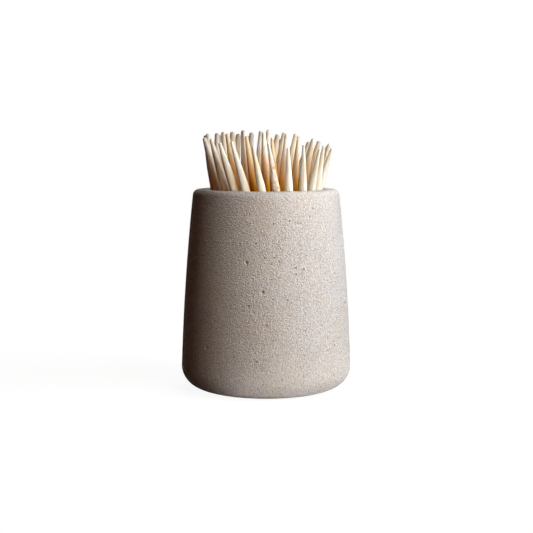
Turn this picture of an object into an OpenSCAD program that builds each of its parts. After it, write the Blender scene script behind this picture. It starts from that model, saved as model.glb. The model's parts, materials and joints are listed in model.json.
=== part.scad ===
// Toothpick holder: a turned stoneware cup that narrows towards its mouth,
// filled with loose round toothpicks, pointed at both ends.
// The origin is on the cup's axis, where its foot stands. +Z is up, and the front faces -Y.

/* [Cup] */
// Height of the cup
cup_h = 53.3; // [46:0.1:62]
// Widest diameter, just above the rounded base edge
belly_d = 46; // [42:0.2:56]
// Outer diameter just below the rounded rim
rim_d = 39.4; // [38:0.2:42]
// How far the middle of the flank stands out from a straight line
flank_bow = 0.42; // [0.1:0.02:1.5]
// Thickness of the wall
wall_t = 4.75; // [3.5:0.05:5.5]
// Thickness of the floor, from the foot ring's face to the inside
floor_t = 4.1; // [3:0.1:6]
// Radius of the rounded edge round the base
base_round = 5.6; // [2:0.1:8]
// Radius of the rounded edges of the rim, outside and inside
rim_round = 1.6; // [0.8:0.05:1.7]
// Radius of the hollow corner between the inside wall and the floor
corner_round = 2.4; // [1:0.1:4]

/* [Foot ring] */
// Width of the flat ring that the cup stands on
foot_ring_w = 4.2; // [3:0.1:7]
// Depth of the hollow inside the foot ring
foot_hollow = 0.8; // [0.3:0.1:1.5]
// Width of the slope at the hollow's edge
foot_slope = 1.2; // [0.5:0.1:2]

/* [Toothpick] */
// Length of a toothpick
pick_len = 65; // [60:1:80]
// Diameter of its round shaft
pick_d = 2.2; // [1.8:0.05:2.4]
// Diameter of the finest tips, at the front
tip_d = 0.7; // [0.4:0.05:0.9]
// Length of the taper that ends in the finest tip
taper_len = 11; // [9:0.5:14]
// Diameter of the bluntest tips, behind on the left
blunt_tip_d = 1.4; // [0.9:0.05:1.6]
// Length of the taper that ends in the bluntest tip
blunt_taper_len = 7; // [5:0.5:9]

/* [Bundle] */
// Height above the floor at which the bundle is narrowest
gather_h = 22; // [18:0.5:26]
// How much nearer to the axis the outer toothpicks stand at that height than at the mouth
gather_in = 3; // [2:0.1:3.6]
// Turn of the bundle from that height to the mouth, clockwise seen from above
swirl = 38; // [30:1:44]
// Shift of the narrowest place towards the back
gather_back = 1.2; // [0:0.1:1.6]
// Shift of the narrowest place towards the left
gather_left = 0.9; // [0:0.1:1.4]
// Least space between two toothpicks
pick_gap = 0.12; // [0.1:0.01:0.3]
// Average free space between neighbours round the mouth
row_slack = 1; // [0.6:0.05:1.5]
// Space between a toothpick and the cup where it leans or stands
rest_gap = 0.12; // [0.05:0.01:0.3]

/* [Hidden] */
belly_r = belly_d / 2;
rim_r = rim_d / 2;
pick_r = pick_d / 2;
fine_r = tip_d / 2;
blunt_r = blunt_tip_d / 2;
overrun = wall_t / 4;
outline_facets = 96;
flank_facets = 1440;
cup_facets = 180;
pick_facets = 24;

// The flank is one arc, from the top of the base edge to the foot of the rim edge.
// Every corner circle touches it, so that the outline runs smoothly.
flank_foot = [belly_r, base_round];
flank_top = [rim_r, cup_h - rim_round];
flank_chord = norm(flank_top - flank_foot);
flank_out = [flank_top[1] - flank_foot[1], flank_foot[0] - flank_top[0]] / flank_chord;
flank_r = (pow(flank_chord / 2, 2) + pow(flank_bow, 2)) / (2 * flank_bow);
flank_centre = (flank_foot + flank_top) / 2 - flank_out * (flank_r - flank_bow);
inner_flank_r = flank_r - wall_t;

// Centre of a corner circle at height z, at a given distance from the flank's centre
function corner_at(z, distance) =
    [flank_centre[0] + sqrt(pow(distance, 2) - pow(z - flank_centre[1], 2)), z];
function away_from_centre(point) = (point - flank_centre) / norm(point - flank_centre);
function axis_height(point) =
    let (way = away_from_centre(point)) point[1] - way[1] / way[0] * point[0];

base_edge = corner_at(base_round, flank_r - base_round);
rim_outside = corner_at(cup_h - rim_round, flank_r - rim_round);
rim_inside = corner_at(cup_h - rim_round, inner_flank_r + rim_round);
floor_corner = corner_at(floor_t + corner_round, inner_flank_r - corner_round);
foot_hollow_r = base_edge[0] - foot_ring_w;

// Levels between which the toothpicks run
floor_z = floor_t + rest_gap;
gather_z = floor_t + gather_h;
mouth_z = cup_h - rim_round;
lean_h = mouth_z - gather_z;
gather_centre = [-gather_left, gather_back];

function spoke(angle) = [sin(angle), -cos(angle)];

// Radius at the mouth at which a toothpick through a point of the gather level
// leans on the rim's inner edge, and the same with its own slope worked in
function leaning_r(slope) =
    rim_inside[0] - (rim_round + rest_gap + pick_r) * sqrt(1 + pow(slope, 2));
function slope_out(gather_point, mouth_r, angle) =
    (mouth_r - gather_point * spoke(angle)) / lean_h;
function seat_r(gather_point, angle) =
    let (first = leaning_r(slope_out(gather_point, leaning_r(0), angle)))
    leaning_r(slope_out(gather_point, first, angle));

usual_lean = 20;
outer_r = leaning_r(tan(usual_lean));

// The gather radius leaves the outer row's feet room inside the wall, where the run from the
// mouth through the gather level goes on down to the floor
run_share = (gather_z - floor_z) / lean_h;
feet_r = floor_corner[0] - norm(gather_centre) * (1 + run_share);
feet_turn = outer_r * run_share * sin(swirl);
foot_room_r = (outer_r * run_share * cos(swirl) + sqrt(max(0, pow(feet_r, 2) - pow(feet_turn, 2))))
              / (1 + run_share);
gather_r = min(outer_r - gather_in, foot_room_r);

// How far a toothpick runs sideways from the gather level to the mouth. Leaning, it takes a
// little more room on the level than its own diameter.
function run_out(r, mouth_r) =
    sqrt(pow(r, 2) + pow(mouth_r, 2) - 2 * r * mouth_r * cos(swirl));
room = pick_d + pick_gap;
steepest_lean = atan((run_out(gather_r - room, outer_r) + norm(gather_centre)) / lean_h);
pitch = room / cos(steepest_lean);

// Nearest that a toothpick comes to the bundle's middle, below the gather level
function nearest_r(r, mouth_r) =
    let (along = r * mouth_r * cos(swirl) - pow(r, 2))
    sqrt(max(0, pow(r, 2) - pow(max(0, along) / run_out(r, mouth_r), 2)));
function fit_round(r, space) = space >= 2 * r ? 1 : floor(180 / asin(space / (2 * r)));
function free_angle(count, r) = max(0, 360 / count - 2 * asin(min(1, pitch / (2 * r))));

// Rows from the outside in. The toothpicks round the mouth come from the first two rows by
// turns. The inner rows open towards the mouth in the same measure as the second row does,
// so that the rows keep their order on every level.
second_r = gather_r - pitch;
waist_share = nearest_r(second_r, outer_r) / second_r;
row_step = room / waist_share;
function row_r(row) = gather_r - row * row_step;
function inner_mouth_r(row) = outer_r * row_r(row) / row_r(1);
function waist_r(row) = nearest_r(row_r(row), inner_mouth_r(row));
function row_count(row) = row_r(row) < pick_gap ? 0 : fit_round(waist_r(row), pitch);
sectors = min(floor(fit_round(outer_r, pitch + row_slack) / 2), row_count(1));
third_count = min(sectors - 1, row_count(2));
sector = 360 / sectors;
free_turn = free_angle(2 * sectors, (gather_r + outer_r) / 2);
free_swirl = min(free_angle(sectors, waist_r(1)), 2 * free_angle(third_count, waist_r(2)));
first_angle = -18;

// How single toothpicks differ from an even bundle, listed from the front round to the right:
// small turns as shares of the free angle half way up to the mouth, differences in swirl as
// shares of the free angle at the waist, and how far they open outwards on the gather level
// as shares of their diameter. To the left and behind, the toothpicks swirl less.
outer_turn_shares = [-0.8, 0.1, 0.8, 0, 0.4, -0.4, 0.3, -0.5, 0.1, 0.4, -0.3, 0.3];
second_turn_shares = [-0.1, -0.4, 0.5, -0.3, 0.3, 0.1, -0.4, 0.1, 0.5, -0.1, 0.1, -0.4];
third_turn_shares = [0.4, -0.3, 0.1, 0.3, -0.3, 0.1, -0.3, 0.3, 0.1, -0.4, 0.3];
outer_swirl_shares = [0.1, 0, 0, 0, -0.3, -0.7, -0.9, -1.2, -1.3, -1.2, -0.9, 0];
second_swirl_shares = [0.4, 0.4, 0.4, 0.3, 0, -0.4, -0.7, -0.9, -1, -0.8, -0.4, 0.3];
third_swirl_shares = [0, 0, 0, 0, -0.1, -0.4, -0.7, -0.9, -0.9, -0.7, -0.3];
outer_open_shares = [0, 0, 0, 0, 0.2, 0.5, 0.6, 0.6, 0.6, 0.6, 0.5, 0.1];
second_open_shares = [0, 0, 0, 0, 0.1, 0.3, 0.5, 0.5, 0.5, 0.5, 0.4, 0.1];
third_open_shares = [0, 0, 0, 0, 0.1, 0.2, 0.4, 0.4, 0.4, 0.4, 0.2];
inner_turn_shares = [0.1, -0.2, 0.2, 0, -0.1, 0.2, -0.2, 0.1];
inner_play_share = 0.1;

// The shares run evenly round the bundle, whatever its count
function picked(shares, index, count) =
    let (place = index * len(shares) / count, before = floor(place),
         after = (before + 1) % len(shares))
    shares[before] + (shares[after] - shares[before]) * (place - before);

// A toothpick as its point on the gather level and its point at the mouth
function gather_point(row, angle, open_share) =
    gather_centre + (row_r(row) + open_share * pick_d) * spoke(angle + swirl);
function rim_pick(row, index, angle, turn_shares, swirl_shares, open_shares) =
    let (mouth_angle = angle + picked(turn_shares, index, sectors) * free_turn,
         gather = gather_point(row, mouth_angle + picked(swirl_shares, index, sectors) * free_swirl,
                               picked(open_shares, index, sectors)))
    [gather, seat_r(gather, mouth_angle) * spoke(mouth_angle)];
function inner_pick(row, angle, swirl_turn = 0, open_share = 0) =
    [gather_point(row, angle + swirl_turn, open_share), inner_mouth_r(row) * spoke(angle)];

rim_lines = [for (i = [0 : sectors - 1]) each [
    rim_pick(0, i, first_angle + i * sector,
             outer_turn_shares, outer_swirl_shares, outer_open_shares),
    rim_pick(1, i, first_angle + (i + 0.5) * sector,
             second_turn_shares, second_swirl_shares, second_open_shares)]];
third_lines = [for (i = [0 : 1 : third_count - 1])
    inner_pick(2, first_angle + i * 360 / third_count
                  + picked(third_turn_shares, i, third_count) * free_turn,
               picked(third_swirl_shares, i, third_count) * free_swirl,
               picked(third_open_shares, i, third_count))];
inner_lines = [for (row = [3 : 4]) let (count = row_count(row)) for (i = [0 : 1 : count - 1])
    count == 1 ? [gather_centre, [0, 0]]
    : inner_pick(row, (i + picked(inner_turn_shares, i, count) * inner_play_share)
                      * 360 / count)];
pick_lines = concat(rim_lines, third_lines, inner_lines);

// Tips are the blunter the further back and to the left their toothpick leaves the mouth
blunt_side = -150;
function blunt_share(line) =
    let (share = (line[1] * spoke(blunt_side) / outer_r + 1) / 2) max(0, min(1, share));
function tip_radius(share) = fine_r + (blunt_r - fine_r) * share;
function taper_length(share) = taper_len + (blunt_taper_len - taper_len) * share;

// Height of the middle of a round foot, which the hollow corner lifts when it stands far out
function foot_height(r, tip_r) =
    let (play = corner_round - rest_gap - tip_r)
    r <= floor_corner[0] ? floor_z + tip_r
    : floor_corner[1] - sqrt(max(0, pow(play, 2) - pow(r - floor_corner[0], 2)));

function pick_name(index) = str("toothpick_", index < 9 ? "0" : "", index + 1);

// Outline of the cup's outside, from the axis outwards
module outside_area() {
    intersection() {
        translate(flank_centre) circle(r = flank_r, $fn = flank_facets);
        polygon([[0, base_round], base_edge,
                 base_edge + away_from_centre(base_edge) * (base_round + overrun),
                 rim_outside + away_from_centre(rim_outside) * (rim_round + overrun),
                 rim_outside, [0, cup_h - rim_round]]);
    }
    square([base_edge[0], base_round]);
    translate(base_edge) circle(r = base_round, $fn = outline_facets);
    translate([0, cup_h - rim_round]) square([rim_outside[0], rim_round]);
    translate(rim_outside) circle(r = rim_round, $fn = outline_facets);
}

// Outline of the room inside, open at the top past the rim's inner edge
module inside_area() {
    intersection() {
        translate(flank_centre) circle(r = inner_flank_r, $fn = flank_facets);
        polygon([[0, floor_corner[1]], floor_corner,
                 floor_corner + away_from_centre(floor_corner) * (corner_round + overrun),
                 rim_inside, [0, axis_height(rim_inside)]]);
    }
    translate([0, floor_t]) square([floor_corner[0], corner_round]);
    translate(floor_corner) circle(r = corner_round, $fn = outline_facets);
    difference() {
        polygon([[0, axis_height(rim_inside)], rim_inside,
                 [rim_inside[0], cup_h + overrun], [0, cup_h + overrun]]);
        translate(rim_inside) circle(r = rim_round, $fn = outline_facets);
    }
}

module foot_hollow_area() {
    polygon([[0, -overrun], [foot_hollow_r, -overrun], [foot_hollow_r, 0],
             [foot_hollow_r - foot_slope, foot_hollow], [0, foot_hollow]]);
}

module holder() {
    color([0.62, 0.565, 0.53])
        rotate_extrude($fn = cup_facets)
            difference() {
                outside_area();
                inside_area();
                foot_hollow_area();
            }
}

// Half outline of one end: a small round tip, then a taper that swells a little
taper_steps = 5;
taper_swell = 50;
function end_outline(tip_r, taper) = concat(
    [for (a = [0 : 30 : 60]) tip_r * [sin(a), 1 - cos(a)]],
    [for (i = [0 : taper_steps])
        [tip_r + (pick_r - tip_r) * sin(taper_swell * i / taper_steps) / sin(taper_swell),
         tip_r + (taper - tip_r) * i / taper_steps]]);

module toothpick(line) {
    way = [line[1][0] - line[0][0], line[1][1] - line[0][1], lean_h];
    start = [line[0][0], line[0][1], gather_z];
    share = blunt_share(line);
    tip_r = tip_radius(share);
    on_floor = start + way * (floor_z + tip_r - gather_z) / lean_h;
    foot_z = foot_height(norm([on_floor[0], on_floor[1]]), tip_r);
    foot = start + way * (foot_z - gather_z) / lean_h;
    lean = acos(lean_h / norm(way));
    heading = atan2(way[1], way[0]);
    end = end_outline(tip_r, taper_length(share));
    color([0.9, 0.8, 0.62])
        translate(foot) rotate([0, lean, heading]) translate([0, 0, -tip_r])
            rotate_extrude($fn = pick_facets)
                polygon(concat(end, [for (i = [len(end) - 1 : -1 : 0])
                                        [end[i][0], pick_len - end[i][1]]]));
}

holder();
for (i = [0 : len(pick_lines) - 1])
    toothpick(pick_lines[i]);
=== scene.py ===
"""Looks of a toothpick holder: a gritty stoneware cup with loose wooden toothpicks.

All lengths are in metres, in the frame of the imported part: the origin is where the cup's foot
stands, on its axis, +Z is up and the front faces -Y.
"""

import json
import logging
import math
from dataclasses import dataclass
from enum import Enum

import bpy
import numpy as np
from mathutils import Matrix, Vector

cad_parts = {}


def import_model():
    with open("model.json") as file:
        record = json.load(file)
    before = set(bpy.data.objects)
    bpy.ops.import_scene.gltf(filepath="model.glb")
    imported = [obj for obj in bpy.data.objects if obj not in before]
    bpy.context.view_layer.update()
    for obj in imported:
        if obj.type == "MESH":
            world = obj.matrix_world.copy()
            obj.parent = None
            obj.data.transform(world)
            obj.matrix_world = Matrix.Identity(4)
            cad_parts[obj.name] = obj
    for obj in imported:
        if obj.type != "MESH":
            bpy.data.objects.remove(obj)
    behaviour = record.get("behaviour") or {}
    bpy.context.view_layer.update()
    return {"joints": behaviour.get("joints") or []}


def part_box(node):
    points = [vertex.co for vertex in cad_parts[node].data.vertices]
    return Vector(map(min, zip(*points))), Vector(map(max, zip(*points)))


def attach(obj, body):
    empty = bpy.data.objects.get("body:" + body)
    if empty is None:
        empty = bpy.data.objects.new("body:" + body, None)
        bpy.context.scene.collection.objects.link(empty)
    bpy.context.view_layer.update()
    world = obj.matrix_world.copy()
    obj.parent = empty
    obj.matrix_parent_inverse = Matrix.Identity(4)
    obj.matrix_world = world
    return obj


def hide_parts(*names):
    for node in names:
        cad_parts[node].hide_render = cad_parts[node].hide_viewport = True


LOG = logging.getLogger("toothpick_holder")
MM = 0.001
FRAME_PIXELS = 533
# How many times longer than wide the wood's streaks are
STREAK_LEN = 9.0

Band = tuple[float, float]
Colour = tuple[float, float, float, float]


def shade(red: float, green: float, blue: float) -> Colour:
    """An opaque colour from linear red, green and blue."""
    return (red, green, blue, 1.0)


def smooth(x: np.ndarray, low: float, high: float) -> np.ndarray:
    """Smooth step from 0 at low to 1 at high: 3t^2 - 2t^3 of the clamped share t."""
    t = np.clip((x - low) / (high - low), 0.0, 1.0)
    return t * t * (3.0 - 2.0 * t)


def blend(ends: Band, share: float) -> float:
    """The value at a share of the way from the first end to the second."""
    return ends[0] + (ends[1] - ends[0]) * share


def ring_angles(around: int) -> np.ndarray:
    """Evenly spaced angles of a full turn, in radians from 0."""
    return np.arange(around) / around * 2.0 * math.pi


@dataclass(frozen=True)
class Lattice:
    """A seeded field of soft lumps: random values on a cube lattice, blended between corners.

    Each seed also shifts its lattice by seed_shift cells, so that no two line up.
    """

    cell: float
    seed: int
    size: int = 96
    seed_shift: float = 0.37

    def at(self, points: np.ndarray) -> np.ndarray:
        """Reads the field at points.

        The eight corner values round each point are blended with smooth-step weights, and
        the lattice repeats after its size.

        Args:
            points: places in metres, one per row.

        Returns:
            One value from -1 to 1 per point.
        """
        values = np.random.default_rng(self.seed).uniform(-1.0, 1.0, (self.size,) * 3)
        scaled = points / self.cell + self.seed_shift * self.seed
        base = np.floor(scaled).astype(int)
        t = smooth(scaled - base, 0.0, 1.0)
        total = np.zeros(len(points))
        for corner in np.ndindex(2, 2, 2):
            step = np.array(corner)
            weight = np.prod(np.where(step == 1, t, 1.0 - t), axis=1)
            i, j, k = ((base + step) % self.size).T
            total += weight * values[i, j, k]
        return total


class Socket:
    """Wraps a node's output so that shader maths reads as a Python expression."""

    def __init__(self, graph: "Graph", link: bpy.types.NodeSocket) -> None:
        """Keeps the graph and the output socket."""
        self.graph = graph
        self.link = link

    def _math(self, operation: str, *values: "Socket | float") -> "Socket":
        """Adds a Math node on values and returns its output."""
        return self.graph.add("ShaderNodeMath", {"operation": operation}, dict(enumerate(values)))

    def __add__(self, other: "Socket | float") -> "Socket":
        """Sum."""
        return self._math("ADD", self, other)

    __radd__ = __add__

    def __mul__(self, other: "Socket | float") -> "Socket":
        """Product."""
        return self._math("MULTIPLY", self, other)

    def __sub__(self, other: "Socket | float") -> "Socket":
        """Difference."""
        return self._math("SUBTRACT", self, other)

    def __rsub__(self, other: "Socket | float") -> "Socket":
        """Difference the other way round."""
        return self._math("SUBTRACT", other, self)

    def __gt__(self, other: "Socket | float") -> "Socket":
        """1 where this value is greater, else 0."""
        return self._math("GREATER_THAN", self, other)

    def ramp(self, low: float, high: float) -> "Socket":
        """Smooth step from 0 at low to 1 at high."""
        return self.graph.add(
            "ShaderNodeMapRange",
            {"interpolation_type": "SMOOTHSTEP"},
            {"Value": self, "From Min": low, "From Max": high},
        )

    def beside(self, name: str) -> "Socket":
        """Another output of the same node."""
        return Socket(self.graph, self.link.node.outputs[name])


class Graph:
    """Builds the nodes of one material or world."""

    # Numbers of the Mix node's colour sockets, which share their names with its other kinds
    MIX_SHARE = 0
    MIX_FIRST = 6
    MIX_SECOND = 7
    MIX_RESULT = 2

    def __init__(
        self,
        owner: bpy.types.Material | bpy.types.World,
        output: str = "ShaderNodeOutputMaterial",
    ) -> None:
        """Starts an empty node tree with its output.

        Args:
            owner: the material or world that the nodes belong to.
            output: the type of its output node.
        """
        owner.use_nodes = True
        self.owner = owner
        self.tree = owner.node_tree
        self.tree.nodes.clear()
        self.output = self.tree.nodes.new(output)

    def add(
        self,
        kind: str,
        settings: dict | None = None,
        sockets: dict | None = None,
        out: int | str = 0,
    ) -> Socket:
        """Adds a node.

        Args:
            kind: the node's type.
            settings: its own settings, which are set first.
            sockets: values or links by input name or number.
            out: the output that is returned, by name or number.

        Returns:
            The wrapped output.
        """
        node = self.tree.nodes.new(kind)
        for key, value in (settings or {}).items():
            setattr(node, key, value)
        for key, value in (sockets or {}).items():
            if isinstance(value, Socket):
                self.tree.links.new(value.link, node.inputs[key])
            else:
                node.inputs[key].default_value = value
        return Socket(self, node.outputs[out])

    def attribute(self, name: str, out: str = "Fac") -> Socket:
        """Reads one of the piece's own attributes."""
        return self.add("ShaderNodeAttribute", {"attribute_name": name}, None, out)

    def mix(
        self,
        share: Socket | float,
        first: Socket | Colour,
        second: Socket | Colour,
        kind: str = "MIX",
    ) -> Socket:
        """Mixes two colours.

        Args:
            share: how much of the second shows, from 0 to 1.
            first: colour or link.
            second: colour or link.
            kind: the blend type.

        Returns:
            The mixed colour.
        """
        settings = {"data_type": "RGBA", "blend_type": kind}
        sockets = {self.MIX_SHARE: share, self.MIX_FIRST: first, self.MIX_SECOND: second}
        return self.add("ShaderNodeMix", settings, sockets, self.MIX_RESULT)

    def seen(self) -> Socket:
        """1 for what the camera, a gloss or a glass sees, and 0 for what lights the object."""
        camera = self.add("ShaderNodeLightPath", out="Is Camera Ray")
        reflected = camera.beside("Is Glossy Ray")
        through = camera.beside("Is Transmission Ray")
        return (camera + reflected + through) > 0.5

    def finish(self, shader: Socket) -> bpy.types.Material | bpy.types.World:
        """Links the shader to the output and returns the owner."""
        self.tree.links.new(shader.link, self.output.inputs["Surface"])
        return self.owner


@dataclass(frozen=True)
class Lumps:
    """A noise by the size of its lumps, in the unit of the place it is read at."""

    size: float
    detail: float
    rough: float = 0.5

    def on(self, place: Socket) -> Socket:
        """Adds the noise at a place and returns its value."""
        sockets = {
            "Vector": place,
            "Scale": 1.0 / self.size,
            "Detail": self.detail,
            "Roughness": self.rough,
        }
        return place.graph.add("ShaderNodeTexNoise", None, sockets)


@dataclass(frozen=True)
class Face:
    """How a surface takes light: its roughness, its gloss and the relief of its Bump."""

    roughness: float
    gloss: float
    relief: float
    strength: float

    def finish(self, colour: Socket, height: Socket) -> bpy.types.Material:
        """Adds the shader of a material.

        Args:
            colour: its colour.
            height: its relief, as shares of the face's own.

        Returns:
            The material.
        """
        g = colour.graph
        relief = {"Height": height, "Strength": self.strength, "Distance": self.relief}
        sockets = {
            "Base Color": colour,
            "Roughness": self.roughness,
            "Specular IOR Level": self.gloss,
            "Normal": g.add("ShaderNodeBump", None, relief),
        }
        return g.finish(g.add("ShaderNodeBsdfPrincipled", None, sockets))


class Clay(Enum):
    """Tones of the stoneware."""

    BODY = shade(0.49, 0.455, 0.42)
    PALE = shade(0.635, 0.60, 0.565)
    DARK = shade(0.29, 0.245, 0.21)
    IRON = shade(0.10, 0.070, 0.052)
    OCHRE = shade(0.52, 0.40, 0.28)
    SLATE = shade(0.45, 0.42, 0.41)
    MAUVE = shade(0.50, 0.465, 0.47)


@dataclass(frozen=True)
class Tone:
    """A tone that comes in where a noise rises through a band, or where it falls through it."""

    clay: Clay
    band: Band
    share: float
    falls: bool = False

    def over(self, colour: Socket, noise: Socket) -> Socket:
        """Lays the tone over a colour.

        Args:
            colour: what it is laid on.
            noise: the value that brings it in.

        Returns:
            The toned colour.
        """
        part = noise.ramp(*self.band)
        if self.falls:
            part = 1.0 - part
        return colour.graph.mix(part * self.share, colour, self.clay.value)


@dataclass(frozen=True)
class Grains:
    """Round grains, one in a share of the cells of a given size.

    The edge is soft over a band of distances from the grain's middle, as shares of the cell.
    """

    clay: Clay
    cell: float
    edge: Band
    share: float
    strength: float

    def on(self, place: Socket) -> Socket:
        """1 inside the grains and 0 outside."""
        g = place.graph
        cell = {"Vector": place, "Scale": 1.0 / self.cell}
        far = g.add("ShaderNodeTexVoronoi", None, cell, "Distance")
        cell_colour = {"Color": far.beside("Color")}
        chance = g.add("ShaderNodeSeparateColor", None, cell_colour, "Red")
        return (1.0 - far.ramp(*self.edge)) * (chance > 1.0 - self.share)

    def over(self, colour: Socket, inside: Socket) -> Socket:
        """Lays the grains' tone over a colour, where inside is 1."""
        return colour.graph.mix(inside * self.strength, colour, self.clay.value)


@dataclass(frozen=True)
class Stoneware:
    """Unglazed stoneware: fine sand in grey-beige clay, dark iron specks and a dry, gritty face.

    The grit runs from dark to pale and is then evened out towards the body. The painted shade in
    the pits' hollows and the holes end over bands of distances from their middle, as shares of the
    pit's width, and the rises say how far each form lifts or sinks the face, as shares of its
    relief.
    """

    face: Face = Face(roughness=0.86, gloss=0.05, relief=0.30 * MM, strength=1.0)
    sand: Lumps = Lumps(0.32 * MM, 1.0, 0.6)
    coarse: Lumps = Lumps(0.704 * MM, 1.0)
    grit: Lumps = Lumps(0.384 * MM, 2.0, 0.7)
    cloud: Lumps = Lumps(8.0 * MM, 2.0)
    tint: Lumps = Lumps(1.1 * MM, 2.0)
    drift: Lumps = Lumps(11.0 * MM, 1.0)
    grit_band: Band = (0.34, 0.66)
    evening: float = 0.37
    cloud_pale: Tone = Tone(Clay.PALE, (0.38, 0.66), 0.14)
    tint_warm: Tone = Tone(Clay.OCHRE, (0.50, 0.68), 0.27)
    tint_cool: Tone = Tone(Clay.SLATE, (0.34, 0.50), 0.36, falls=True)
    drift_warm: Tone = Tone(Clay.OCHRE, (0.48, 0.70), 0.16)
    drift_cool: Tone = Tone(Clay.MAUVE, (0.34, 0.50), 0.20, falls=True)
    flecks: Grains = Grains(Clay.OCHRE, 2.4 * MM, (0.07, 0.16), 0.20, 0.40)
    pores: Grains = Grains(Clay.DARK, 0.8 * MM, (0.10, 0.28), 0.22, 0.70)
    specks: Grains = Grains(Clay.IRON, 2.0 * MM, (0.07, 0.15), 0.34, 0.70)
    pit_shade_edge: Band = (0.2, 0.75)
    pit_shade_share: float = 0.75
    hole_edge: Band = (0.1, 1.3)
    sand_rise: float = 1.25
    coarse_rise: float = 0.55
    pore_rise: float = -0.7
    speck_rise: float = -0.6
    hole_rise: float = -1.6

    def build(self, pits: list[tuple[np.ndarray, float]]) -> bpy.types.Material:
        """Makes the material: grains and specks in Object coordinates, with relief from a Bump.

        Args:
            pits: the place and width of each pit, whose core gets painted shade and is sunk
                deeper.

        Returns:
            The material.
        """
        g = Graph(bpy.data.materials.new("stoneware"))
        place = g.add("ShaderNodeTexCoord", out="Object")
        tint = self.tint.on(place)
        drift = self.drift.on(place)
        pores = self.pores.on(place)
        specks = self.specks.on(place)
        holes: Socket | float = 0.0
        pit_shade: Socket | float = 0.0
        for spot, width in pits:
            ends = {0: place, 1: spot}
            far = g.add("ShaderNodeVectorMath", {"operation": "DISTANCE"}, ends, "Value")
            holes = holes + (1.0 - far.ramp(*(width * end for end in self.hole_edge)))
            pit_shade = pit_shade + (1.0 - far.ramp(*(width * end for end in self.pit_shade_edge)))

        grit = self.grit.on(place).ramp(*self.grit_band)
        colour = g.mix(grit, Clay.DARK.value, Clay.PALE.value)
        colour = g.mix(self.evening, colour, Clay.BODY.value)
        colour = self.cloud_pale.over(colour, self.cloud.on(place))
        colour = self.tint_warm.over(colour, tint)
        colour = self.tint_cool.over(colour, tint)
        colour = self.drift_warm.over(colour, drift)
        colour = self.drift_cool.over(colour, drift)
        colour = self.flecks.over(colour, self.flecks.on(place))
        colour = self.pores.over(colour, pores)
        colour = self.specks.over(colour, specks)
        # Painted shade in the hollow of each pit
        colour = g.mix(pit_shade * self.pit_shade_share, colour, Clay.IRON.value)
        height = (
            self.sand.on(place) * self.sand_rise
            + self.coarse.on(place) * self.coarse_rise
            + pores * self.pore_rise
            + specks * self.speck_rise
            + holes * self.hole_rise
        )
        return self.face.finish(colour, height)


class Wood(Enum):
    """Shades of toothpick wood, each as its light and its warm fibres."""

    CREAM = (shade(0.85, 0.86, 0.83), shade(0.78, 0.67, 0.45))
    BIRCH = (shade(0.80, 0.79, 0.72), shade(0.72, 0.55, 0.29))
    # A darker, greyer wood for the right-hand toothpicks, where the window lights them most:
    # painted shade, partly the wood's own tone
    BUFF = (shade(0.70, 0.705, 0.66), shade(0.66, 0.545, 0.35))
    # A darker wood given to listed toothpicks that stand in shade behind others: painted shade,
    # partly the wood's own tone
    TAN = (shade(0.75, 0.65, 0.45), shade(0.58, 0.37, 0.13))
    ROUGH = (shade(0.84, 0.845, 0.81), shade(0.51, 0.32, 0.12))


@dataclass(frozen=True)
class PlainWood:
    """Machined birch: long pale fibres with warmer streaks, a darker cut at each tip, and painted
    shade and bounce light in orange-brown where the bundle crowds it.

    Its noises are measured in millimetres, as the piece's own fibre coordinates are. The
    broad streaks are evened out towards the light fibres before the fine ones are laid on,
    and the flakes of torn wood are flake_squeeze times shorter than the streaks.
    """

    kind: Wood
    face: Face = Face(roughness=0.72, gloss=0.08, relief=0.05 * MM, strength=0.7)
    broad: Lumps = Lumps(1.3, 2.0, 0.6)
    broad_band: Band = (0.36, 0.72)
    evening: float = 0.38
    fine: Lumps = Lumps(0.50, 2.0, 0.6)
    fine_band: Band = (0.46, 0.62)
    fine_share: float = 0.6
    flakes: Lumps = Lumps(0.4, 3.0)
    flake_band: Band = (0.51, 0.61)
    flake_share: float = 0.9
    flake_squeeze: float = 4.0
    tip: Colour = shade(0.44, 0.34, 0.26)
    # The orange-brown of the painted shade and bounce light between the toothpicks
    painted_shade_amber: Colour = shade(0.80, 0.37, 0.03)

    def build(self) -> bpy.types.Material:
        """Makes the material from the piece's own fibre coordinates, which run along its axis."""
        light, warm = self.kind.value
        g = Graph(bpy.data.materials.new("wood_" + self.kind.name.lower()))
        fibre = g.attribute("fibre", "Vector")
        fine = self.fine.on(fibre)
        colour = g.mix(self.broad.on(fibre).ramp(*self.broad_band), light, warm)
        colour = g.mix(self.evening, colour, light)
        colour = g.mix(fine.ramp(*self.fine_band) * self.fine_share, colour, warm)
        colour = g.mix(g.attribute("ends"), colour, self.tip)
        if self.kind is Wood.ROUGH:
            squeeze = {0: fibre, 1: (1.0, 1.0, self.flake_squeeze)}
            short = g.add("ShaderNodeVectorMath", {"operation": "MULTIPLY"}, squeeze)
            flakes = self.flakes.on(short).ramp(*self.flake_band) * g.attribute("torn")
            colour = g.mix(flakes * self.flake_share, colour, warm)
        # Painted shade and bounce light: the wood is darkened to orange-brown where the bundle
        # crowds it
        colour = g.mix(g.attribute("painted_shade"), colour, self.painted_shade_amber, "MULTIPLY")
        return self.face.finish(colour, fine)


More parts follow.
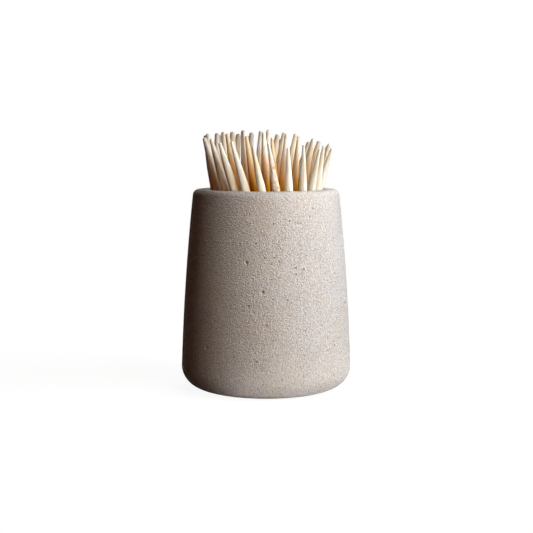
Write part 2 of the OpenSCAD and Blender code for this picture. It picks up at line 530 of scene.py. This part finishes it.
def mesh_piece(
    name: str, points: np.ndarray, faces: np.ndarray, material: bpy.types.Material
) -> bpy.types.Object:
    """Puts points and faces into a smooth mesh object at the origin.

    Args:
        name: the piece's name.
        points: corner places, one per row.
        faces: four corner numbers per row; a triangle repeats its last corner.
        material: its finish.

    Returns:
        The linked object.
    """
    loops = np.where(faces[:, 3] == faces[:, 2], 3, 4)
    keep = np.ones(faces.shape, dtype=bool)
    keep[:, 3] = loops == 4
    mesh = bpy.data.meshes.new(name)
    mesh.vertices.add(len(points))
    mesh.vertices.foreach_set("co", points.astype(np.float32).ravel())
    mesh.loops.add(int(loops.sum()))
    mesh.loops.foreach_set("vertex_index", faces[keep].astype(np.int32))
    mesh.polygons.add(len(faces))
    starts = np.concatenate([[0], np.cumsum(loops)[:-1]])
    mesh.polygons.foreach_set("loop_start", starts.astype(np.int32))
    mesh.update(calc_edges=True)
    mesh.validate()
    mesh.shade_smooth()
    mesh.materials.append(material)
    piece = bpy.data.objects.new(name, mesh)
    bpy.context.scene.collection.objects.link(piece)
    return piece


def turned_faces(rows: int, around: int) -> np.ndarray:
    """Faces of a turned surface that is closed by a single point at each end.

    Args:
        rows: rings between the two end points.
        around: points on each ring.

    Returns:
        Corner numbers: the near end point is 0, then the rings in turn, and the far one last.
    """
    i = np.arange(around)
    j = (i + 1) % around
    ring = 1 + np.arange(rows - 1)[:, None] * around
    quads = np.stack([ring + i, ring + j, ring + around + j, ring + around + i], axis=-1)
    last = 1 + (rows - 1) * around
    pole = np.full(around, last + around)
    near = np.stack([np.zeros(around, int), 1 + j, 1 + i, 1 + i], axis=-1)
    far = np.stack([last + i, last + j, pole, pole], axis=-1)
    return np.concatenate([near, quads.reshape(-1, 4), far])


def closed(rings: np.ndarray, near_z: float, far_z: float) -> np.ndarray:
    """Puts an end point on the axis before and after the rings of a turned surface."""
    return np.vstack([[[0.0, 0.0, near_z]], rings, [[0.0, 0.0, far_z]]])


@dataclass(frozen=True)
class Pit:
    """A small pit in the clay.

    Its turn is in degrees from the front towards the right, and its height is a share of the
    cup's.
    """

    turn: float
    height_share: float
    width: float
    depth: float


@dataclass(frozen=True)
class Cup:
    """The turned stoneware cup, with the grit and pits of its dry face.

    The grit is a weighted sum of lump fields, which sinks the face by grit_sink of it on
    average. It is weaker inside, and comes in above the foot over a band of heights. The
    first and last ring of the outline lie axis_gap from the axis.
    """

    height: float = 53.3 * MM
    belly_r: float = 23.0 * MM
    rim_r: float = 19.7 * MM
    bow: float = 0.42 * MM
    wall: float = 4.75 * MM
    floor: float = 4.1 * MM
    base_round: float = 5.6 * MM
    rim_round: float = 1.6 * MM
    corner_round: float = 2.4 * MM
    ring_w: float = 4.2 * MM
    hollow: float = 0.8 * MM
    slope: float = 1.2 * MM
    around: int = 548
    axis_gap: float = 0.4 * MM
    grit: float = 0.014 * MM
    grit_sink: float = 0.5
    inner_grit: float = 0.6
    grit_start: Band = (0.2 * MM, 1.6 * MM)
    lumps: tuple[tuple[float, Lattice], ...] = (
        (0.25, Lattice(2.6 * MM, 3)),
        (0.5, Lattice(1.2 * MM, 5)),
        (1.0, Lattice(0.7 * MM, 8)),
    )
    pits: tuple[Pit, ...] = (
        Pit(-13.6, 0.667, 0.42 * MM, 0.18 * MM),
        Pit(-2.4, 0.528, 0.44 * MM, 0.20 * MM),
        Pit(-42.8, 0.246, 0.42 * MM, 0.18 * MM),
        Pit(-12.0, 0.85, 0.22 * MM, 0.12 * MM),
        Pit(9.0, 0.67, 0.22 * MM, 0.12 * MM),
        Pit(33.0, 0.88, 0.22 * MM, 0.10 * MM),
        Pit(25.5, 0.85, 0.22 * MM, 0.10 * MM),
        Pit(0.5, 0.37, 0.22 * MM, 0.12 * MM),
        Pit(-30.0, 0.56, 0.20 * MM, 0.10 * MM),
        Pit(71.0, 0.44, 0.36 * MM, 0.18 * MM),
        Pit(118.0, 0.73, 0.30 * MM, 0.16 * MM),
        Pit(156.0, 0.36, 0.40 * MM, 0.20 * MM),
        Pit(-97.0, 0.62, 0.34 * MM, 0.18 * MM),
        Pit(-140.0, 0.29, 0.30 * MM, 0.16 * MM),
    )

    def outline(self) -> tuple[np.ndarray, np.ndarray]:
        """Works out the half outline from the middle of the foot to the middle of the floor.

        The flank is one circle arc through the top of the base edge and the foot of the rim
        edge, and the inside wall is an arc about the same centre. Each corner is a circle
        that touches one of the two, so its centre lies at that arc's radius less or plus its
        own from the flank's centre.

        Returns:
            Points as radius and height, and the share of grit at each.
        """
        foot = np.array([self.belly_r, self.base_round])
        top = np.array([self.rim_r, self.height - self.rim_round])
        chord = np.linalg.norm(top - foot)
        outward = np.array([top[1] - foot[1], foot[0] - top[0]]) / chord
        flank_r = ((chord / 2) ** 2 + self.bow**2) / (2 * self.bow)
        centre = (foot + top) / 2 - outward * (flank_r - self.bow)

        def corner(z: float, distance: float) -> np.ndarray:
            """Centre of a corner circle at height z, at a distance from the flank's centre."""
            return np.array([centre[0] + math.sqrt(distance**2 - (z - centre[1]) ** 2), z])

        def arc(
            middle: np.ndarray, radius: float, start: float, end: float, steps: int
        ) -> np.ndarray:
            """Points on a circle arc between two angles in radians from the +r axis."""
            a = np.linspace(start, end, steps)[:, None]
            return middle + radius * np.hstack([np.cos(a), np.sin(a)])

        def line(start: Band, end: Band, steps: int) -> np.ndarray:
            """Points on a straight line, without its last."""
            t = np.linspace(0.0, 1.0, steps + 1)[:-1, None]
            return np.array(start) * (1.0 - t) + np.array(end) * t

        def tilt(point: np.ndarray) -> float:
            """Angle at which a point is seen from the flank's centre."""
            return math.atan2(point[1] - centre[1], point[0] - centre[0])

        base = corner(self.base_round, flank_r - self.base_round)
        lip_out = corner(self.height - self.rim_round, flank_r - self.rim_round)
        inner_r = flank_r - self.wall
        lip_in = corner(self.height - self.rim_round, inner_r + self.rim_round)
        low = corner(self.floor + self.corner_round, inner_r - self.corner_round)
        ring_in = base[0] - self.ring_w
        hollow_r = ring_in - self.slope
        quarter = math.pi / 2

        under = np.vstack(
            [
                line((self.axis_gap, self.hollow), (hollow_r, self.hollow), steps=6),
                line((hollow_r, self.hollow), (ring_in, 0.0), steps=3),
                line((ring_in, 0.0), (base[0], 0.0), steps=5),
            ]
        )
        outside = np.vstack(
            [
                arc(base, self.base_round, -quarter, tilt(base), steps=18)[:-1],
                arc(centre, flank_r, tilt(base), tilt(lip_out), steps=112)[:-1],
                arc(lip_out, self.rim_round, tilt(lip_out), quarter, steps=9),
            ]
        )
        inside = np.vstack(
            [
                arc(lip_in, self.rim_round, quarter, math.pi + tilt(lip_in), steps=9),
                arc(centre, inner_r, tilt(lip_in), tilt(low), steps=14)[1:-1],
                arc(low, self.corner_round, tilt(low), -quarter, steps=5),
                line((low[0], self.floor), (self.axis_gap, self.floor), steps=5)[1:],
            ]
        )
        shares = (0.0, 1.0, self.inner_grit)
        gritty = np.repeat(shares, [len(under), len(outside), len(inside)])
        return np.vstack([under, outside, inside]), gritty

    def spots(self) -> list[tuple[np.ndarray, float]]:
        """Finds where the pits lie on the flank.

        Returns:
            The place and width of each pit.
        """
        line, gritty = self.outline()
        flank = line[(gritty == 1.0) & (line[:, 1] > self.base_round)]
        found = []
        for pit in self.pits:
            a = math.radians(pit.turn)
            z = pit.height_share * self.height
            r = np.interp(z, flank[:, 1], flank[:, 0])
            found.append((np.array([math.sin(a) * r, -math.cos(a) * r, z]), pit.width))
        return found

    def turned(self, half: np.ndarray) -> np.ndarray:
        """Turns radius and height pairs about the axis, starting at the front.

        Args:
            half: radius and height, one pair per row.

        Returns:
            Places, one per row: the points of each ring in turn.
        """
        turn = ring_angles(self.around)
        spoke = np.stack([np.sin(turn), -np.cos(turn)], axis=1)
        places = np.empty((len(half), self.around, 3))
        places[..., :2] = half[:, None, :1] * spoke[None]
        places[..., 2] = half[:, 1][:, None]
        return places.reshape(-1, 3)

    def build(self, material: bpy.types.Material) -> bpy.types.Object:
        """Turns the outline about the axis, and moves each point along its normal by the grit.

        Each pit is pressed in as depth * exp(-(distance / width)^2).

        Args:
            material: the stoneware.

        Returns:
            The piece.
        """
        line, gritty = self.outline()
        way = np.gradient(line, axis=0)
        normal = np.stack([way[:, 1], -way[:, 0]], axis=1)
        normal /= np.linalg.norm(normal, axis=1)[:, None]
        rings = self.turned(line)
        lumps = sum(weight * lattice.at(rings) for weight, lattice in self.lumps)
        rise = smooth(rings[:, 2], *self.grit_start)
        amount = np.repeat(gritty, self.around) * rise * self.grit * (lumps - self.grit_sink)
        for pit, (place, width) in zip(self.pits, self.spots()):
            gap = np.linalg.norm(rings - place, axis=1) / width
            amount -= pit.depth * np.exp(-(gap**2))
        points = closed(rings + self.turned(normal) * amount[:, None], self.hollow, self.floor)
        return mesh_piece("cup", points, turned_faces(len(line), self.around), material)


@dataclass(frozen=True)
class Cutting:
    """How the toothpicks are machined.

    The pairs taper, tip_r, flat, cut_end and cut_share run from the finest toothpick to the
    bluntest, and a spread is how far single ends differ, as shares. The grooves are lump
    fields, stretched along the axis by taking only a share of the way along it. The flat is
    as deep as a share of the radius, the tears lie in a band of distances from the upper end,
    and the darker cut fades over distances from the nearer one.
    """

    length: float = 65.0 * MM
    radius: float = 1.1 * MM
    taper: Band = (11.0 * MM, 7.0 * MM)
    taper_spread: Band = (0.98, 1.18)
    tip_r: Band = (0.34 * MM, 0.76 * MM)
    tip_spread: Band = (0.92, 1.04)
    swell: float = math.pi / 4
    around: int = 36
    end_len: float = 15.0 * MM
    end_rings: int = 34
    end_crowding: float = 1.3
    shaft_rings: int = 12
    shift: float = 60.0 * MM
    groove_along: float = 0.07
    fine_grooves: Lattice = Lattice(0.42 * MM, 11)
    broad_grooves: Lattice = Lattice(0.9 * MM, 12)
    broad_weight: float = 0.8
    groove: float = 0.026 * MM
    rough_groove: float = 0.075 * MM
    groove_mean: float = 0.55
    groove_swing: float = 0.5
    groove_most: float = 1.6
    tears: Lattice = Lattice(0.55 * MM, 14)
    tear_along: float = 0.35
    tear: float = 0.16 * MM
    tear_start: Band = (22.0 * MM, 16.0 * MM)
    tear_end: Band = (7.0 * MM, 4.0 * MM)
    flat: Band = (0.22, 0.044)
    axis_gap: float = 0.02 * MM
    least_left: float = 0.3
    cut_start: float = 0.2 * MM
    cut_end: Band = (1.4 * MM, 6.0 * MM)
    cut_share: Band = (0.1, 0.95)


@dataclass(frozen=True)
class PaintedShade:
    """Where the wood gets painted shade and bounce light: where neighbours lie close, deep in the
    bundle, and low on the left.

    A neighbour counts 1 at no gap and 0 from the reach on, times its weight. The bundle's face at
    a height is a percentile of how far out its toothpicks stand there. A point counts as deep over
    a band of distances inside that face. The painted shade comes in over the heights of the rise
    and fades over those of the fall, so it is strongest near the mouth.
    """

    reach: float = 1.5 * MM
    weight: float = 0.6
    face_percentile: float = 75.0
    depth: Band = (0.7 * MM, 3.0 * MM)
    # How strongly the left-hand toothpicks get painted shade
    painted_left_shade: float = 0.97
    rise: Band = (3.0 * MM, 50.0 * MM)
    fall: Band = (53.0 * MM, 68.0 * MM)


@dataclass
class Toothpick:
    """One round toothpick, pointed at both ends, with fibres, a worn taper and cut tips."""

    name: str
    middle: np.ndarray
    way: np.ndarray
    seed: int
    kind: Wood
    blunt: float
    # Share of painted shade towards the rim, laid on the left-hand toothpicks
    painted_left_shade: float
    cut: Cutting = Cutting()
    shade_paint: PaintedShade = PaintedShade()

    def levels(self) -> np.ndarray:
        """Heights of the rings on the standing form, closer together towards the tips."""
        cut = self.cut
        end = np.linspace(0.0, 1.0, cut.end_rings) ** cut.end_crowding * cut.end_len
        shaft = np.linspace(cut.end_len, cut.length - cut.end_len, cut.shaft_rings)
        return np.concatenate([end[1:], shaft[1:-1], cut.length - end[:0:-1]])

    def build(self, material: bpy.types.Material, others: np.ndarray) -> bpy.types.Object:
        """Builds the toothpick as a turned form whose radius varies with place and angle.

        Its radius grows from a round tip along a swelling taper, as sin(45 deg * t) /
        sin(45 deg), and is then the shaft's. What carved() works out is taken off.

        Args:
            material: the wood.
            others: middle and way of every other toothpick, six numbers a row.

        Returns:
            The piece, with its fibre coordinates in millimetres.
        """
        cut = self.cut
        rng = np.random.default_rng(self.seed)
        tapers = blend(cut.taper, self.blunt) * rng.uniform(*cut.taper_spread, 2)
        tips = blend(cut.tip_r, self.blunt) * rng.uniform(*cut.tip_spread, 2)
        shift = rng.uniform(0.0, cut.shift, 3)
        facing = rng.uniform(0.0, 2.0 * math.pi, 2)

        rows = self.levels()
        top = rows > cut.length / 2
        near = np.where(top, cut.length - rows, rows)
        taper = np.where(top, tapers[1], tapers[0])
        tip = np.where(top, tips[1], tips[0])
        t = np.clip((near - tip) / (taper - tip), 0.0, 1.0)
        body = tip + (cut.radius - tip) * np.sin(t * cut.swell) / math.sin(cut.swell)
        cap = np.sqrt(np.clip(tip**2 - (tip - near) ** 2, 0.0, None))
        radius = np.where(near < tip, cap, body)

        turn = ring_angles(cut.around)
        local = np.empty((len(rows), cut.around, 3))
        local[..., :2] = radius[:, None, None] * np.stack([np.cos(turn), np.sin(turn)], axis=1)
        local[..., 2] = rows[:, None]
        rings = local.reshape(-1, 3)
        away = np.where(top, facing[1], facing[0])[:, None] - turn[None]
        trim = (1.0 - t)[:, None] * np.clip(np.cos(away), 0.0, 1.0) ** 2 * radius[:, None]
        rings[:, :2] *= self.carved(rings, radius, trim.ravel(), shift)[:, None]

        form = closed(rings, 0.0, cut.length)
        ends = np.concatenate([[0.0], np.repeat(near, cut.around), [0.0]])
        points = self.placed(form)
        faces = turned_faces(len(rows), cut.around)
        piece = mesh_piece(self.name + "_wood", points, faces, material)
        self.write(piece, form, shift, ends, self.painted_shade_share(points, others))
        return piece

    def carved(
        self, rings: np.ndarray, radius: np.ndarray, trim: np.ndarray, shift: np.ndarray
    ) -> np.ndarray:
        """Works out how much of its radius each point keeps.

        Fibre grooves run the whole length, torn fibres roughen one zone of rough wood, and a
        flat that the cutter left trims one side of each taper.

        Args:
            rings: points of the standing form.
            radius: the radius of each ring.
            trim: the flat's depth at each point, in the unit of the radius.
            shift: where the pattern starts.

        Returns:
            A share of the radius for each point.
        """
        cut = self.cut
        stretched = rings * np.array([1.0, 1.0, cut.groove_along]) + shift
        grooves = cut.fine_grooves.at(stretched)
        grooves += cut.broad_weight * cut.broad_grooves.at(stretched)
        rough = self.kind is Wood.ROUGH
        depth = cut.rough_groove if rough else cut.groove
        press = depth * np.clip(cut.groove_mean - cut.groove_swing * grooves, 0.0, cut.groove_most)
        if rough:
            torn = cut.tears.at(rings * np.array([1.0, 1.0, cut.tear_along]) + shift)
            press += cut.tear * self.torn_zone(rings[:, 2]) * np.clip(torn, 0.0, 1.0)
        press += blend(cut.flat, self.blunt) * trim
        scale = np.repeat(np.clip(radius / cut.radius, 0.0, 1.0), cut.around)
        across = np.maximum(np.linalg.norm(rings[:, :2], axis=1), cut.axis_gap)
        return np.clip(1.0 - press * scale / across, cut.least_left, 1.0)

    def painted_shade_share(self, points: np.ndarray, others: np.ndarray) -> np.ndarray:
        """Works out the share of painted shade and bounce light at each point, from how closely
        the bundle wraps it.

        The gap to a neighbour is the distance to its axis less its radius. The counts of all
        neighbours join as 1 - product of (1 - weight * count), and the depth inside the bundle and
        the toothpick's painted left shade join them in the same way. The whole comes in and fades
        again with the height above the table.

        Args:
            points: places in the shared frame.
            others: middle and way of every other toothpick, six numbers a row.

        Returns:
            A share from 0 to 1 for each point.
        """
        cut, shade_paint = self.cut, self.shade_paint
        middles, ways = others[None, :, :3], others[None, :, 3:]
        off = points[:, None, :] - middles
        along = np.einsum("pni,ni->pn", off, others[:, 3:])
        along = np.clip(along, -cut.length / 2, cut.length / 2)
        gap = np.linalg.norm(off - along[..., None] * ways, axis=2) - cut.radius
        free = np.prod(1.0 - shade_paint.weight * (1.0 - smooth(gap, 0.0, shade_paint.reach)), axis=1)
        level = points[:, 2]
        rise = (level[:, None] - middles[..., 2]) / ways[..., 2]
        axes = middles[..., :2] + rise[..., None] * ways[..., :2]
        stand = np.percentile(np.linalg.norm(axes, axis=2), shade_paint.face_percentile, axis=1)
        inward = stand + cut.radius - np.linalg.norm(points[:, :2], axis=1)
        # Painted shade from close neighbours, from depth in the bundle and on the left-hand
        # toothpicks
        bare = free * (1.0 - smooth(inward, *shade_paint.depth)) * (1.0 - shade_paint.painted_left_shade * self.painted_left_shade)
        return (1.0 - bare) * smooth(level, *shade_paint.rise) * (1.0 - smooth(level, *shade_paint.fall))

    def torn_zone(self, along: np.ndarray) -> np.ndarray:
        """Where the cutter tore the fibres: 1 in a stretch above the rim, and 0 elsewhere."""
        start = smooth(along, *(self.cut.length - end for end in self.cut.tear_start))
        return start * (1.0 - smooth(along, *(self.cut.length - end for end in self.cut.tear_end)))

    def placed(self, form: np.ndarray) -> np.ndarray:
        """Lays a form that stands on the origin along the toothpick's own axis.

        Args:
            form: points with the axis on +Z.

        Returns:
            Points in the shared frame.
        """
        across = np.cross(self.way, [0.0, -1.0, 0.0])
        across /= np.linalg.norm(across)
        third = np.cross(self.way, across)
        axes = np.stack([across, third, self.way])
        foot = self.middle - self.way * self.cut.length / 2
        return form @ axes + foot

    def write(
        self,
        piece: bpy.types.Object,
        form: np.ndarray,
        shift: np.ndarray,
        near: np.ndarray,
        painted_shade: np.ndarray,
    ) -> None:
        """Stores the fibre coordinates in millimetres, and what the colour varies with.

        Args:
            piece: the piece.
            form: its points with the axis on +Z.
            shift: where its pattern starts.
            near: distance of each point from the nearer end.
            painted_shade: the share of painted shade and bounce light at each point.
        """
        cut = self.cut
        fibre = (form * np.array([1.0, 1.0, 1.0 / STREAK_LEN]) + shift) / MM
        store = piece.data.attributes.new("fibre", "FLOAT_VECTOR", "POINT")
        store.data.foreach_set("vector", fibre.astype(np.float32).ravel())
        faded = 1.0 - smooth(near, cut.cut_start, blend(cut.cut_end, self.blunt))
        values = {"ends": blend(cut.cut_share, self.blunt) * faded, "painted_shade": painted_shade}
        if self.kind is Wood.ROUGH:
            values["torn"] = self.torn_zone(form[:, 2])
        for key, value in values.items():
            store = piece.data.attributes.new(key, "FLOAT", "POINT")
            store.data.foreach_set("value", value.astype(np.float32))


@dataclass(frozen=True)
class Bundle:
    """The loose toothpicks, each on its own body, laid as the frame's joints say.

    The tips are the blunter the further back and to the left the toothpick leaves the mouth, those
    on the left get painted shade towards the rim, and those on the right a darker buff wood as
    painted shade where the window lights them most.
    """

    joints: list[dict]
    mouth_z: float = 51.7 * MM
    mouth_r: float = 13.5 * MM
    blunt_way: tuple[float, float] = (-0.5, 0.866)
    left_shade_power: float = 2.5
    shaded_buff_from: float = 0.5
    first_seed: int = 100
    usual: tuple[Wood, ...] = (Wood.CREAM, Wood.BIRCH, Wood.CREAM)
    rough: tuple[str, ...] = ("toothpick_03",)
    # Listed toothpicks that stand in shade behind others get the darker wood as painted shade
    tan: tuple[str, ...] = ("toothpick_25", "toothpick_26", "toothpick_35")

    def wood(self, index: int, name: str, mouth: np.ndarray) -> Wood:
        """Picks the wood of a toothpick by its name, or else by its place.

        Args:
            index: its number in the bundle, from 0.
            name: its body.
            mouth: where its axis crosses the mouth.

        Returns:
            The wood.
        """
        if name in self.tan:
            return Wood.TAN
        if name in self.rough:
            return Wood.ROUGH
        # Painted shade: the right-hand toothpicks, which the window lights most, get the darker
        # wood
        if mouth[0] > self.shaded_buff_from * self.mouth_r:
            return Wood.BUFF
        return self.usual[index % len(self.usual)]

    def plan(self, index: int, joint: dict) -> Toothpick:
        """Lays out the toothpick that a joint draws out.

        Args:
            index: its number in the bundle, from 0.
            joint: its slide, whose axis is the toothpick's own.

        Returns:
            The toothpick.
        """
        name = joint["child"]
        low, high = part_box(name)
        way = np.array(joint["axis"], dtype=float)
        way /= np.linalg.norm(way)
        middle = (np.array(low) + np.array(high)) / 2
        mouth = middle + way * (self.mouth_z - middle[2]) / way[2]
        blunt = float(np.clip((mouth[:2] @ self.blunt_way / self.mouth_r + 1.0) / 2.0, 0, 1))
        # Painted shade on the left-hand toothpicks, strongest at the far left
        painted_left_shade = float(np.clip(-mouth[0] / self.mouth_r, 0, 1)) ** self.left_shade_power
        kind = self.wood(index, name, mouth)
        return Toothpick(name, middle, way, self.first_seed + index, kind, blunt, painted_left_shade)

    def build(self) -> list[bpy.types.Object]:
        """Builds every toothpick that the frame holds.

        Returns:
            The pieces.
        """
        finish = {kind: PlainWood(kind).build() for kind in Wood}
        picks = [self.plan(index, joint) for index, joint in enumerate(self.joints)]
        axes = np.array([np.concatenate([pick.middle, pick.way]) for pick in picks])
        pieces = []
        for index, pick in enumerate(picks):
            piece = pick.build(finish[pick.kind], np.delete(axes, index, axis=0))
            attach(piece, pick.name)
            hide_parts(pick.name)
            pieces.append(piece)
        return pieces


@dataclass(frozen=True)
class Lamp:
    """A soft square lamp that points at the cup.

    It stands turn degrees from the front towards the right, rise degrees above the horizon
    and far from the point on the cup's axis that it aims at. Its side measures size.
    """

    name: str
    turn: float
    rise: float
    far: float
    size: float
    watts: float
    colour: tuple[float, float, float]
    aim_z: float = 35.0 * MM

    def build(self) -> None:
        """Adds the lamp, which the camera doesn't see."""
        data = bpy.data.lights.new(self.name, "AREA")
        data.shape = "SQUARE"
        data.size = self.size
        data.energy = self.watts
        data.color = self.colour
        lamp = bpy.data.objects.new(self.name, data)
        a = math.radians(self.turn)
        e = math.radians(self.rise)
        back = Vector((math.sin(a) * math.cos(e), -math.cos(a) * math.cos(e), math.sin(e)))
        lamp.location = Vector((0.0, 0.0, self.aim_z)) + back * self.far
        lamp.rotation_euler = back.to_track_quat("Z", "Y").to_euler()
        lamp.visible_camera = False
        bpy.context.scene.collection.objects.link(lamp)


@dataclass(frozen=True)
class Floor:
    """The pale floor, which shows white and keeps the object's shadow near it.

    Where it isn't seen, its colour is what it throws back up onto the object: dull, but for a
    painted pool of bounce light round the foot, with a painted shadow under the foot's rounding
    and on the left. The bands run outwards from the origin, and painted_left_shadow runs along X.
    """

    side: float = 8.0
    shadow_end: Band = (60.0 * MM, 160.0 * MM)
    # Bands of the painted pool of bounce light, its painted shadow under the foot and its painted
    # shadow on the left
    painted_foot_shadow: Band = (16.5 * MM, 21.5 * MM)
    painted_pool_end: Band = (35.0 * MM, 75.0 * MM)
    painted_left_shadow: Band = (-18.0 * MM, -6.0 * MM)
    dull: Colour = shade(0.02, 0.015, 0.01)
    painted_pool: Colour = shade(0.86, 0.86, 0.87)
    pale: Colour = shade(0.15, 0.15, 0.15)
    white: Colour = shade(1.0, 1.0, 1.0)
    glow: float = 0.92

    def build(self) -> None:
        """Lays the floor at the height of the foot."""
        g = Graph(bpy.data.materials.new("pale_floor"))
        place = g.add("ShaderNodeTexCoord", out="Object")
        far = g.add("ShaderNodeVectorMath", {"operation": "LENGTH"}, {0: place}, "Value")
        across = g.add("ShaderNodeSeparateXYZ", None, {"Vector": place}, "X")
        near = 1.0 - far.ramp(*self.shadow_end)
        # A painted pool of bounce light round the foot, with a painted shadow under the foot's
        # rounding and on the left
        ring = far.ramp(*self.painted_foot_shadow) * (1.0 - far.ramp(*self.painted_pool_end))
        painted_pool_colour = g.mix(across.ramp(*self.painted_left_shadow) * ring, self.dull, self.painted_pool)
        bounce = g.add("ShaderNodeBsdfDiffuse", None, {"Color": painted_pool_colour})
        pale = g.add("ShaderNodeBsdfDiffuse", None, {"Color": self.pale})
        glow = g.add("ShaderNodeEmission", None, {"Color": self.white, "Strength": self.glow})
        shadowed = g.add("ShaderNodeAddShader", None, {0: pale, 1: glow})
        white = g.add("ShaderNodeEmission", None, {"Color": self.white, "Strength": 1.0})
        shown = g.add("ShaderNodeMixShader", None, {0: near, 1: white, 2: shadowed})
        shader = g.add("ShaderNodeMixShader", None, {0: g.seen(), 1: bounce, 2: shown})
        edge = self.side / 2
        points = np.array([[-edge, -edge, 0], [edge, -edge, 0], [edge, edge, 0], [-edge, edge, 0]])
        floor = mesh_piece("floor", points, np.array([[0, 1, 2, 3]]), g.finish(shader))


@dataclass(frozen=True)
class Studio:
    """The floor, the lamps, the white surroundings and the camera."""

    camera_back: float = 294.1 * MM
    camera_z: float = 65.475 * MM
    aim_z: float = 32.302 * MM
    camera_x: float = 0.11 * MM
    focal_pixels: float = 1092.12
    sensor_mm: float = 36.0
    clip: Band = (0.01, 20.0)
    white: Colour = shade(1.0, 1.0, 1.0)
    dim: Colour = shade(1.0, 0.55, 0.30)
    dim_strength: float = 0.004
    lamps: tuple[Lamp, ...] = (
        Lamp("window", 80.0, 30.0, 0.28, 0.16, 0.81, (0.715, 0.84, 1.0)),
        Lamp("softbox", 36.0, 0.0, 0.25, 0.15, 0.37, (1.0, 0.90, 0.79)),
        Lamp("near", 38.0, 35.0, 0.12, 0.08, 0.106, (1.0, 0.975, 0.935)),
        Lamp("back", 176.0, 22.0, 0.30, 0.20, 0.55, (1.0, 0.97, 0.93)),
        Lamp("ember", -35.0, 12.0, 0.36, 0.20, 0.045, (1.0, 0.22, 0.03)),
    )

    def camera(self) -> None:
        """Stands the camera in front, a little above the rim, aimed at the cup's middle."""
        data = bpy.data.cameras.new("camera")
        data.sensor_width = self.sensor_mm
        data.lens = self.sensor_mm * self.focal_pixels / FRAME_PIXELS
        data.clip_start, data.clip_end = self.clip
        camera = bpy.data.objects.new("camera", data)
        place = Vector((self.camera_x, -self.camera_back, self.camera_z))
        aim = Vector((self.camera_x, 0.0, self.aim_z))
        camera.location = place
        camera.rotation_euler = (aim - place).to_track_quat("-Z", "Y").to_euler()
        bpy.context.scene.collection.objects.link(camera)
        bpy.context.scene.camera = camera

    def world(self) -> None:
        """Shows white round the object, and gives it almost no light from there."""
        g = Graph(bpy.data.worlds.new("studio"), "ShaderNodeOutputWorld")
        white = {"Color": self.white, "Strength": 1.0}
        dim = {"Color": self.dim, "Strength": self.dim_strength}
        ends = {
            0: g.seen(),
            1: g.add("ShaderNodeBackground", None, dim),
            2: g.add("ShaderNodeBackground", None, white),
        }
        bpy.context.scene.world = g.finish(g.add("ShaderNodeMixShader", None, ends))

    def build(self) -> None:
        """Sets the view transform and builds the camera, lamps, floor and world."""
        bpy.context.scene.view_settings.view_transform = "Standard"
        self.camera()
        for lamp in self.lamps:
            lamp.build()
        Floor().build()
        self.world()


def main() -> None:
    """Builds the cup, the toothpicks and the studio, and reports each piece."""
    logging.basicConfig(level=logging.INFO, format="%(message)s")
    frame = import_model()
    form = Cup()
    cup = form.build(Stoneware().build(form.spots()))
    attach(cup, "cup")
    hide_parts("holder")
    pieces = [cup] + Bundle(frame["joints"]).build()
    Studio().build()
    for piece in pieces:
        LOG.info("%s: %d faces", piece.name, len(piece.data.polygons))


if __name__ == "__main__":
    main()
